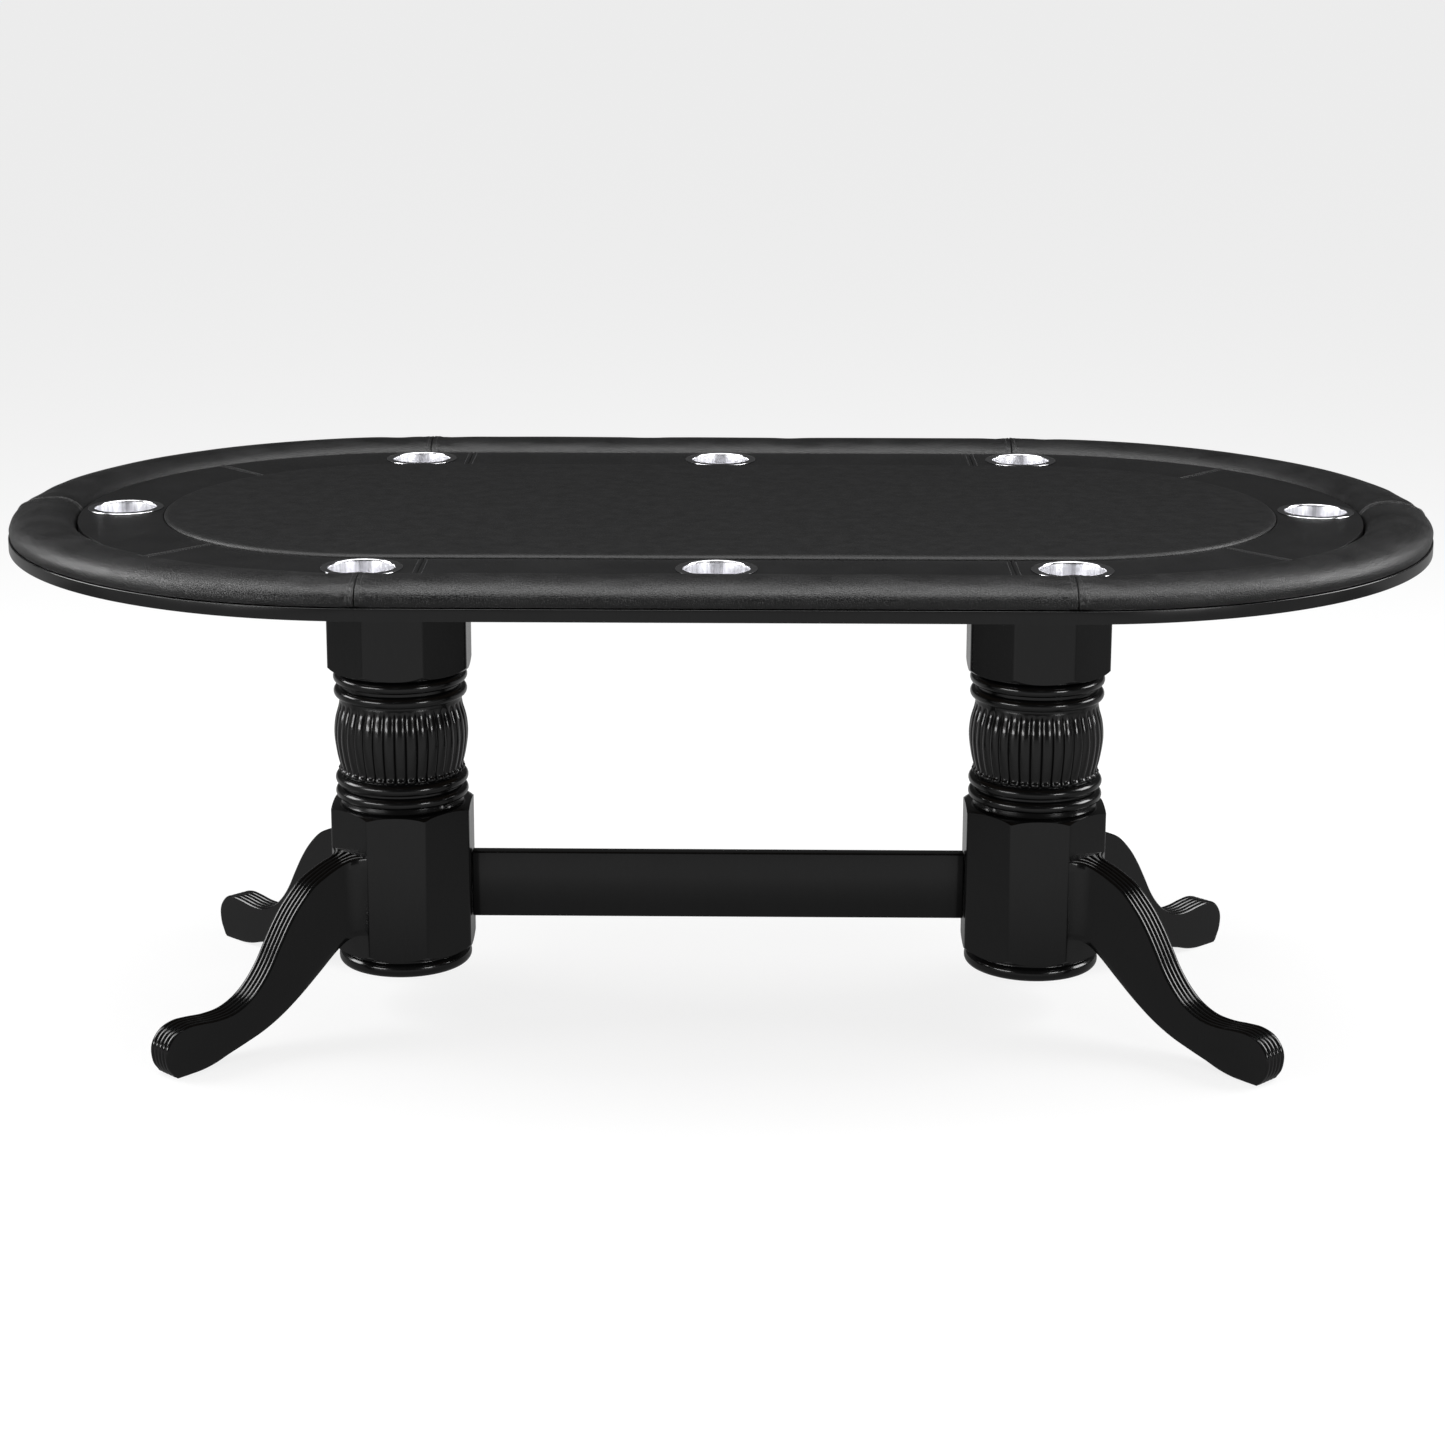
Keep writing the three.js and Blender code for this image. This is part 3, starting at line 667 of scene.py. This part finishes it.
def make_racetrack():
    section = race_section()
    is_top = section[:, 1] > race_high[2] - RACE_FALL - 0.1
    fine = [0, 0.3, 0.8, 1.5, 2.4, 3.6, 4.8, 5.4, 6, 6.6, 7.4, 9]
    for name, (start, end) in race_runs().items():
        def relief(inset, height, along, start=start, end=end):
            d = np.minimum(along - start, end - along)
            drop = 1.4 * np.exp(-((d / 1.0) ** 2)) + 0.35 * np.exp(-(((d - 6) / 1.0) ** 2))
            drop -= 0.6 * np.exp(-(((d - 2.6) / 1.1) ** 2))
            swell = wobble(along, inset, 21, 190) * 0.12
            return inset, np.where(is_top[None, :], height - drop + swell - 0.15, height)

        runs = spaced(start + RACE_CLEARANCE, end - RACE_CLEARANCE, 9.0, fine)
        verts, faces = swept_oval(section, runs, relief)
        panel = new_piece(f"race_cover_{name}", verts, faces, TABLE, race_vinyl,
                          [f"racetrack_{name}"], crease=40)
        low, high = span(f"cup_{name}")
        cut_hole(panel, (low + high)[:2] / 2, HOLE_RADIUS)
        rows = []
        for run in (start + RACE_STITCH_OFFSET, end - RACE_STITCH_OFFSET):
            at, out = oval([run])
            inset = np.linspace(RACE_OUTER + 3, RACE_INNER - 3, 30)
            line = np.column_stack([at[0] - np.outer(inset, out[0]), np.full(30, race_high[2] - 0.5)])
            rows.append((line, np.tile([0.0, 0.0, 1.0], (30, 1))))
        joined_stitches(f"race_stitches_{name}", rows)


# ---------------------------------------------------------------- play surface

# The pad's edge, as [inset, height above its board]. It hangs a little outside and below the board's
# edge, so that the board doesn't show.
PLAY_EDGE = [
    (-0.4, -2.4), (-0.4, -0.2), (0.3, 1.1), (1.8, 2.7), (4.0, 4.1), (7.0, 5.0), (10.5, 5.4), (16, 5.5),
]
PLAY_EDGE_RISE = 5.5    # height of the last of those points, which is scaled to the pad's own


def make_play_surface():
    base, top = play_low[2], play_high[2]
    rise = top - base
    edge = smooth_line([(inset, h * rise / PLAY_EDGE_RISE) for inset, h in PLAY_EDGE], 26)
    inward = np.concatenate([np.linspace(19, 60, 8), np.linspace(75, PLAY_RADIUS - 3, 16)])
    insets = np.concatenate([edge[:, 0], inward])
    heights = np.concatenate([edge[:, 1], np.full(len(inward), rise)])
    arc = np.linspace(-math.pi / 2, math.pi / 2, 121)
    side = np.linspace(STRAIGHT, -STRAIGHT, 74)[1:-1]
    rings = []
    for inset, height in zip(insets, heights):
        r = PLAY_RADIUS - inset
        right = np.column_stack([STRAIGHT + r * np.cos(arc), r * np.sin(arc)])
        rear = np.column_stack([side, np.full(len(side), r)])
        ring = np.vstack([right, rear, -right, -rear])
        swell = 0.25 * wobble(ring[:, 0], ring[:, 1], 40, 320) + 0.1 * wobble(ring[:, 0], ring[:, 1], 41, 70)
        z = base + height + np.where(inset > 6, swell - 0.35, -0.35 * min(1, max(0, inset / 6)))
        rings.append(np.column_stack([ring, z]))
    loop = len(rings[0])
    verts = np.vstack(rings)
    faces = tube_faces(len(rings), loop)
    last = (len(rings) - 1) * loop
    faces.append(tuple(range(loop))[::-1])
    right_count = len(arc)
    side_count = len(side)
    front = [last + right_count + side_count + right_count + i for i in range(side_count)]
    rear = [last + right_count + i for i in range(side_count)]
    for i in range(side_count - 1):
        faces.append((rear[i], rear[i + 1], front[side_count - 2 - i], front[side_count - 1 - i]))
    first_arc = [last + i for i in range(right_count)]
    second_arc = [last + right_count + side_count + i for i in range(right_count)]
    faces.append(tuple([*first_arc, rear[0], front[-1]]))
    faces.append(tuple([*second_arc, front[0], rear[-1]]))
    pad = new_piece("play_cover", verts, faces, TABLE, play_vinyl, ["play_pad"], crease=60)


# ---------------------------------------------------------------- cups

CUP_WALL = 44.0         # inner radius at the lip
CUP_FOOT = CUP_WALL - 5.0


def make_cups():
    for node in CUPS:
        low, high = span(node)
        centre = (low + high) / 2
        flange = (high[0] - low[0]) / 2
        rest = race_high[2] + 0.3
        floor = low[2]
        wall, foot = CUP_WALL, CUP_FOOT
        inside = [
            (0, floor + 1), (foot - 9, floor + 1), (foot - 4, floor + 1.8), (foot - 0.6, floor + 5.5),
            (foot + 0.4, floor + 9), (wall - 0.2, rest - 3.0), (wall, rest - 0.8),
        ]
        lip = [(wall + 0.5, rest + 0.9), (wall + 1.9, rest + 1.9), (wall + 3.4, rest + 2.1)]
        flange_top = [(flange - 4, rest + 1.75), (flange - 1.6, rest + 1.45), (flange - 0.3, rest + 0.9)]
        under = [(flange, rest + 0.35), (flange - 0.5, rest), (wall + 2, rest), (wall + 0.9, rest - 2)]
        outside = [(foot + 1.4, floor + 9), (foot + 0.2, floor + 5), (foot - 4, floor + 0.7),
                   (foot - 9, floor), (0, floor)]
        profile = np.array(inside + lip + flange_top + under + outside)
        dense = [profile[:1]]
        for a, b in zip(profile[:-1], profile[1:]):
            steps = max(1, int(np.linalg.norm(b - a) / 8))
            dense.append(a + (b - a) * np.linspace(0, 1, steps + 1)[1:, None])
        verts, faces = turned(np.vstack(dense), 96, centre)
        new_piece(node.replace("cup_", "cup_shell_"), verts, faces, f"{node}_body", cup_steel,
                  [node], crease=40, origin=(centre[0], centre[1], rest))


# ---------------------------------------------------------------- pedestals

REEDS = 36
REED_DEPTH = 4.2


def bead(middle, height, outer, inner, steps=12):
    """A half-round bead of a turned profile."""
    a = np.linspace(-math.pi / 2, math.pi / 2, steps)
    return np.column_stack([inner + (outer - inner) * np.cos(a), middle + height / 2 * np.sin(a)])


def column_profile(low, high):
    urn_low, urn_high = low + 45.5, high - 44.5
    urn = smooth_line([(88.5, urn_low), (89.5, urn_low + 6), (94.6, urn_low + 27), (98, urn_low + 54),
                       (96.3, urn_low + 78), (91, urn_low + 98), (89.3, urn_high)], 90)
    return np.vstack([
        [(0, low), (91, low), (89.5, low + 3), (88.8, low + 6)], bead(low + 15.2, 17.6, 97.5, 88.6),
        bead(low + 35.7, 17.6, 97.5, 88.4), urn, [(88.9, high - 42.5), (88.8, high - 40.5)],
        bead(high - 31.4, 17.6, 97.5, 88.8), bead(high - 9.7, 17.6, 98, 88.8), [(88.5, high), (0, high)],
    ]), urn_low, urn_high


def make_column(node, centre):
    low, high = span(node)
    profile, urn_low, urn_high = column_profile(low[2], high[2])

    def reeded(radius, height, theta):
        across = (theta * REEDS / (2 * math.pi)) % 1.0 * 2 - 1
        round_top = np.sqrt(np.clip(1 - across**2, 0, 1))
        up = np.clip((height - urn_low) / (urn_high - urn_low), 0, 1)
        on_urn = (height > urn_low) & (height < urn_high) & (radius > 80)
        ends = np.clip((height - urn_low) / 4, 0, 1) * np.clip((urn_high - 2 - height) / 7, 0, 1)
        depth = REED_DEPTH * ends**0.5
        petal = 4.2 * np.exp(-(((up - 0.03) / 0.034) ** 2)) * round_top
        carved = radius - depth * (1 - round_top) + petal
        return np.where(on_urn, carved, radius)

    verts, faces = turned(profile, REEDS * 10, centre, reeded)
    new_piece(node.replace("turned_column", "reeded_column"), verts, faces, TABLE, black_lacquer,
              [node], crease=60)


def octagon_angles():
    """Angles round the block, closer together at its eight corners."""
    t = np.linspace(-1, 1, 23)[:-1]
    within = np.sign(t) * np.abs(t) ** 0.45 * 22.5
    return np.radians(np.concatenate([k * 45 + within for k in range(8)]))


def octagon_radius(theta, flats, sharpness=170):
    """Distance from the axis to an octagon's side, its corners slightly rounded."""
    faces = np.arange(8) * math.pi / 4
    toward = np.clip(np.cos(theta[:, None] - faces[None, :]), 0, None) ** sharpness
    return flats / 2 / toward.sum(1) ** (1 / sharpness)


def turned_edge(radius, start, reach, depth):
    """How far a quarter-ellipse turning has come down at a radius, from start outwards."""
    return depth * (1 - np.sqrt(np.clip(1 - ((radius - start) / reach) ** 2, 0, 1)))


def make_block(name, node, centre, bottom_turning, top_turning):
    """An octagonal block whose ends are turned on the lathe, so the turning leaves scallops on its faces.
    A turning is (start radius, reach, depth), or None for a plain end."""
    low, high = span(node)
    flats = high[0] - low[0]
    theta = octagon_angles()
    rim = octagon_radius(theta, flats)

    def end_rows(turning, level, direction):
        if turning is None:
            return [np.column_stack([rim - 0.8, np.full_like(rim, level)]),
                    np.column_stack([rim, np.full_like(rim, level + 0.8 * direction)])]
        start, reach, depth = turning
        rows = []
        for t in np.linspace(0, 1, 14):
            radius = start + (rim - start) * math.sin(t * math.pi / 2)
            cut = turned_edge(radius, start, reach, depth)
            rows.append(np.column_stack([radius, level + direction * cut]))
        return rows

    bottom = end_rows(bottom_turning, low[2], 1)
    top = end_rows(top_turning, high[2], -1)
    axis_low = np.column_stack([np.zeros_like(rim), np.full_like(rim, low[2])])
    axis_high = np.column_stack([np.zeros_like(rim), np.full_like(rim, high[2])])
    middle = [bottom[-1] + (top[-1] - bottom[-1]) * t for t in (0.02, 0.25, 0.5, 0.75, 0.98)]
    rows = np.array([axis_low, *bottom, *middle, *top[::-1], axis_high])
    x = centre[0] + rows[..., 0] * np.cos(theta)
    y = centre[1] + rows[..., 0] * np.sin(theta)
    verts = np.stack([x, y, rows[..., 1]], -1).reshape(-1, 3)
    new_piece(name, verts, capped_tube(len(rows), len(theta)), TABLE, black_lacquer,
              [node], crease=25)


def make_pedestal(side):
    label = "left" if side < 0 else "right"
    centre = (side * PEDESTAL_X, 0.0)
    make_column(f"{label}_turned_column", centre)
    make_block(f"{label}_block_low", f"{label}_lower_block", centre, (88, 22.6, 14), (92, 30, 38))
    make_block(f"{label}_block_high", f"{label}_upper_block", centre, (92, 32, 59), None)
    low, high = span(f"{label}_base_ring")
    ring = smooth_line([
        (86, low[2]), (93.5, low[2] + 1), (97.6, low[2] + 5), (98.5, low[2] + 10),
        (97.6, low[2] + 15.5), (94.5, low[2] + 19.5), (92.5, low[2] + 21), (92.3, high[2]),
    ], 40)
    profile = np.vstack([[(0, low[2])], ring, [(0, high[2])]])
    verts, faces = turned(profile, 128, centre)
    new_piece(f"{label}_foot_ring", verts, faces, TABLE, black_lacquer,
              [f"{label}_base_ring"], crease=40)


# ---------------------------------------------------------------- legs

# The leg from the side, as [distance from the pedestal's axis, height].
LEG_BACK = [
    (101.8, 255), (134, 247), (160, 237.5), (184, 225), (209, 202), (228, 178), (246, 150),
    (263, 122), (282, 99), (304, 81.5), (330, 71), (358, 69), (386, 71.5), (408, 72), (428, 66),
    (441, 53), (446, 38), (443, 18), (433, 3),
]
LEG_UNDERSIDE = [
    (101.8, 136), (122, 130), (144, 117.5), (176, 93), (209, 68.5), (243, 47), (276, 31.5),
    (310, 20.5), (338, 12.5), (362, 5), (384, 1), (405, 0), (428, 0),
]
LEG_STATIONS = 150
LEG_REEDS = 5
LEG_REED_DEPTH = 3.4
LEG_HALF_WIDTH = 20.5
ROOT_HALF_WIDTH = 41.0
ROOT_COVE = 27.0


def leg_half_width(r):
    """Half of the leg's width: it flares in a cove to the full face of the block at the root."""
    t = np.linspace(0, 1, 40)
    along = LEG_BACK[0][0] + 2 * t * (1 - t) * 6 + t**2 * ROOT_COVE
    width = (1 - t) ** 2 * ROOT_HALF_WIDTH + (1 - (1 - t) ** 2) * LEG_HALF_WIDTH
    return np.interp(r, along, width)


def leg_mesh():
    """Vertices [distance, sideways, height] and faces of one leg, pointing along +X from the axis."""
    back = smooth_line(LEG_BACK, LEG_STATIONS)
    under = smooth_line(LEG_UNDERSIDE, LEG_STATIONS)
    tangent = np.gradient(back, axis=0)
    inward = np.stack([tangent[:, 1], -tangent[:, 0]], -1)
    inward /= np.linalg.norm(inward, axis=1, keepdims=True)
    across = np.linspace(-1, 1, LEG_REEDS * 10 + 1)
    place = ((across + 1) / 2 * LEG_REEDS) % 1.0 * 2 - 1
    place[-1] = 1.0
    groove = LEG_REED_DEPTH * (1 - np.sqrt(np.clip(1 - 0.93 * place**2, 0, 1)))
    side_steps = np.array([0.1, 0.3, 0.5, 0.7, 0.9])
    rows = []
    for i in range(LEG_STATIONS):
        thick = np.linalg.norm(under[i] - back[i])
        ease = min(1.0, thick / 25)
        points = [(back[i] + inward[i] * g * ease, v) for v, g in zip(across, groove)]
        start = points[-1][0]
        down = under[i] - start
        points += [(start + down * t, 1.0) for t in side_steps]
        points += [(under[i] - down * 0.02, 0.97), (under[i], 0.9), (under[i], 0.45), (under[i], 0.0),
                   (under[i], -0.45), (under[i], -0.9), (under[i] - down * 0.02, -0.97)]
        points += [(start + down * t, -1.0) for t in side_steps[::-1]]
        rows.append([(p[0], v * leg_half_width(p[0]), p[1]) for p, v in points])
    rows = np.array(rows)
    rows[..., 2] = np.maximum(rows[..., 2], 0.0)
    return rows.reshape(-1, 3), capped_tube(LEG_STATIONS, rows.shape[1])


def make_legs():
    local, faces = leg_mesh()
    for side, label in ((-1, "left"), (1, "right")):
        for end, row in ((-1, "front"), (1, "rear")):
            angle = math.atan2(end, side)
            x = side * PEDESTAL_X + local[:, 0] * math.cos(angle) - local[:, 1] * math.sin(angle)
            y = local[:, 0] * math.sin(angle) + local[:, 1] * math.cos(angle)
            verts = np.column_stack([x, y, local[:, 2]])
            new_piece(f"reeded_leg_{row}_{label}", verts, faces, TABLE, black_lacquer,
                      [f"leg_{row}_{label}"], crease=32)


def make_stretcher():
    low, high = span("stretcher")
    bm = bmesh.new()
    bmesh.ops.create_cube(bm, size=1)
    size = (high - low) * MM
    bmesh.ops.scale(bm, verts=bm.verts, vec=size)
    bmesh.ops.translate(bm, verts=bm.verts, vec=(low + high) / 2 * MM)
    bmesh.ops.bevel(bm, geom=bm.edges, offset=0.0022, segments=3, profile=0.5, affect="EDGES")
    verts = [np.array(v.co) / MM for v in bm.verts]
    faces = [tuple(v.index for v in f.verts) for f in bm.faces]
    bm.free()
    new_piece("stretcher_board", verts, faces, TABLE, black_lacquer,
              ["stretcher"], crease=35)


# ---------------------------------------------------------------- CAD nodes that stay


def finish_kept_nodes():
    for name, node in nodes.items():
        material = None
        if "bolt" in name or "tie_rod" in name:
            material = zinc
        elif "board" in name or "cross_rail" in name or "plate" in name:
            material = raw_board
        if material is not None:
            node.data.materials.clear()
            node.data.materials.append(material)


# ---------------------------------------------------------------- camera, floor and light

CAMERA_PLACE = (0.0312, -4.4143, 1.6404)
CAMERA_PITCH, CAMERA_YAW = 0.228, -0.0181   # below the horizon, and to the side, in radians
CAMERA_LENS = 77.7
CAMERA_SHIFT = (0.026, -0.0834)
FLOOR_SHOWN = 0.83      # how brightly the camera sees the floor
FLOOR_GLOW = (0.2, 0.4)     # what lights and reflections get from it, near the table and farther off
WORLD_SHOWN = 0.95
WORLD_GLOW = 0.05


def make_camera():
    data = bpy.data.cameras.new("camera")
    data.sensor_width = 36
    data.lens = CAMERA_LENS
    data.shift_x, data.shift_y = CAMERA_SHIFT
    data.clip_start, data.clip_end = 0.05, 200
    camera = bpy.data.objects.new("camera", data)
    camera.location = CAMERA_PLACE
    level = math.cos(CAMERA_PITCH)
    ahead = Vector((math.sin(CAMERA_YAW) * level, math.cos(CAMERA_YAW) * level, -math.sin(CAMERA_PITCH)))
    camera.rotation_euler = ahead.to_track_quat("-Z", "Y").to_euler()
    bpy.context.scene.collection.objects.link(camera)
    bpy.context.scene.camera = camera


def camera_only(tree, seen, unseen):
    """Mixes two shaders: what the camera sees directly, and what lights and reflections get."""
    path = tree.nodes.new("ShaderNodeLightPath")
    mix = tree.nodes.new("ShaderNodeMixShader")
    tree.links.new(path.outputs["Is Camera Ray"], mix.inputs["Fac"])
    tree.links.new(unseen, mix.inputs[1])
    tree.links.new(seen, mix.inputs[2])
    return mix.outputs["Shader"]


def make_floor():
    bm = bmesh.new()
    bmesh.ops.create_grid(bm, x_segments=2, y_segments=2, size=60)
    mesh = bpy.data.meshes.new("floor")
    bm.to_mesh(mesh)
    bm.free()
    floor = bpy.data.objects.new("floor", mesh)
    floor.location.z = -0.0004
    material, tree, bsdf = shader("pale_floor", (0.2, 0.2, 0.2), 0.9, 0.0)
    bsdf.inputs["Emission Color"].default_value = (1, 1, 1, 1)
    bsdf.inputs["Emission Strength"].default_value = FLOOR_SHOWN
    glow = tree.nodes.new("ShaderNodeEmission")
    place = tree.nodes.new("ShaderNodeTexCoord")
    split = tree.nodes.new("ShaderNodeSeparateXYZ")
    tree.links.new(place.outputs["Object"], split.inputs["Vector"])
    depth = tree.nodes.new("ShaderNodeMath")
    depth.operation = "ABSOLUTE"
    tree.links.new(split.outputs["Y"], depth.inputs[0])
    near = remap(tree, depth.outputs["Value"], 0.3, 0.8, FLOOR_GLOW[0], FLOOR_GLOW[1])
    width = tree.nodes.new("ShaderNodeMath")
    width.operation = "ABSOLUTE"
    tree.links.new(split.outputs["X"], width.inputs[0])
    fade = remap(tree, width.outputs["Value"], 1.2, 2.6, 1.0, 0.75)
    level = tree.nodes.new("ShaderNodeMath")
    level.operation = "MULTIPLY"
    tree.links.new(near, level.inputs[0])
    tree.links.new(fade, level.inputs[1])
    tree.links.new(level.outputs["Value"], glow.inputs["Strength"])
    result = camera_only(tree, bsdf.outputs["BSDF"], glow.outputs["Emission"])
    tree.links.new(result, tree.nodes["Material Output"].inputs["Surface"])
    mesh.materials.append(material)
    bpy.context.scene.collection.objects.link(floor)


def area_light(name, place, target, size, power):
    data = bpy.data.lights.new(name, "AREA")
    data.shape = "RECTANGLE"
    data.size, data.size_y = size
    data.energy = power
    light = bpy.data.objects.new(name, data)
    light.location = place
    light.rotation_euler = (Vector(target) - Vector(place)).to_track_quat("-Z", "Y").to_euler()
    light.visible_camera = False
    bpy.context.scene.collection.objects.link(light)


def make_lights():
    area_light("overhead", (0, -0.6, 3.3), (0, -0.3, 0.7), (4.4, 1.9), 108)
    area_light("overhead_rear", (0, 1.0, 3.3), (0, 1.0, 0), (4.4, 1.1), 16)
    area_light("left_box", (-3.7, 0.3, 2.5), (-0.6, 0, 0.7), (1.8, 2.6), 125)
    area_light("right_box", (3.7, 0.3, 2.5), (0.6, 0, 0.7), (1.8, 2.6), 125)
    area_light("front_left_box", (-3.5, -3.0, 1.15), (-0.2, 0, 0.45), (2.6, 0.6), 54)
    area_light("front_right_box", (2.9, -3.4, 1.15), (0.2, 0, 0.45), (1.2, 0.6), 30)
    world = bpy.data.worlds.new("studio")
    bpy.context.scene.world = world
    world.use_nodes = True
    tree = world.node_tree
    dim = tree.nodes["Background"]
    dim.inputs["Color"].default_value = (1, 1, 1, 1)
    dim.inputs["Strength"].default_value = WORLD_GLOW
    pale = tree.nodes.new("ShaderNodeBackground")
    pale.inputs["Color"].default_value = (1, 1, 1, 1)
    pale.inputs["Strength"].default_value = WORLD_SHOWN
    result = camera_only(tree, pale.outputs["Background"], dim.outputs["Background"])
    tree.links.new(result, tree.nodes["World Output"].inputs["Surface"])
    bpy.context.scene.view_settings.view_transform = "Standard"


make_camera()
make_floor()
make_lights()
make_rail()
make_band()
make_racetrack()
make_play_surface()
make_cups()
for pedestal_side in (-1, 1):
    make_pedestal(pedestal_side)
make_legs()
make_stretcher()
finish_kept_nodes()
